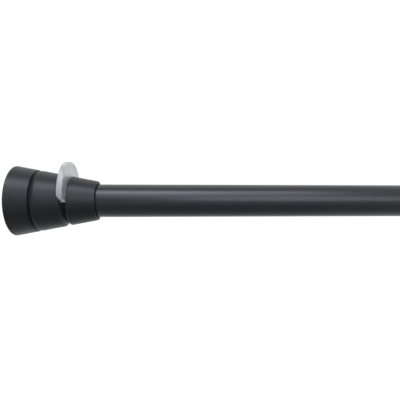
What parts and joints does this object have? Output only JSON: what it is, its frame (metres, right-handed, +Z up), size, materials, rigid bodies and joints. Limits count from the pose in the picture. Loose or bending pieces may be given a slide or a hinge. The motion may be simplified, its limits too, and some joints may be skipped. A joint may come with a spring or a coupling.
{
  "type": "spring tension rod",
  "caption": "Black telescoping tension rod with cone-shaped end caps, an internal spring, a clear horseshoe clip and a twist lock.",
  "frame": {"origin": "centre of the left wall pad's outer face, on the rod's axis", "axes": "+X along the rod from the left wall to the right one, +Z up, the way the clip's tab points"},
  "size_m": [0.65, 0.0398, 0.0423],
  "materials": {
    "pad_rubber": "matte moulded rubber",
    "plate_plastic": "moulded",
    "cap_plastic": "satin black, moulded",
    "clip_plastic": "clear, slightly frosted",
    "spring_steel": "drawn wire",
    "bush_nylon": "natural nylon",
    "tube_steel": "satin black powder coat",
    "collar_plastic": "satin black, moulded",
    "fastener_steel": "zinc plated"
  },
  "bodies": {
    "left_cap": {"left_wall_pad": "pad_rubber", "left_face_plate": "plate_plastic", "sprung_cap": "cap_plastic", "cap_spring": "spring_steel"},
    "clip": {"retaining_clip": "clip_plastic"},
    "outer": {"stop_bush": "bush_nylon", "outer_tube": "tube_steel", "mouth_bush": "collar_plastic"},
    "lock": {"lock_sleeve": "bush_nylon"},
    "wedge": {"lock_cone": "bush_nylon"},
    "inner": {"inner_tube": "tube_steel", "lock_plug": "bush_nylon", "lock_screw": "fastener_steel", "lock_nut": "fastener_steel", "end_plug": "bush_nylon", "cap_screw": "fastener_steel", "right_cap": "cap_plastic", "right_face_plate": "plate_plastic", "right_wall_pad": "pad_rubber"}
  },
  "joints": [
    {"name": "spring_travel", "type": "slide", "parent": "left_cap", "child": "outer", "axis": [-1, 0, 0], "range_m": [0, 0.012], "stiffness_N_per_m": 8600, "springref_m": -0.003, "deforming": ["cap_spring"]},
    {"name": "clip_pull", "type": "slide", "parent": "left_cap", "child": "clip", "axis": [0, 0, 1], "range_m": [0, 0.016]},
    {"name": "length_slide", "type": "slide", "parent": "outer", "child": "lock", "axis": [1, 0, 0], "range_m": [-0.04, 0.264]},
    {"name": "lock_twist", "type": "hinge", "parent": "lock", "child": "inner", "pos_m": [0, 0, 0], "axis": [-1, 0, 0], "range_deg": [0, 540]},
    {"name": "cone_travel", "type": "slide", "parent": "lock", "child": "wedge", "axis": [1, 0, 0], "range_m": [0, 0.00226]}
  ],
  "couplings": [
    {"joint": "cone_travel", "follows": "lock_twist", "m_per_rad": 0.00023873}
  ]
}
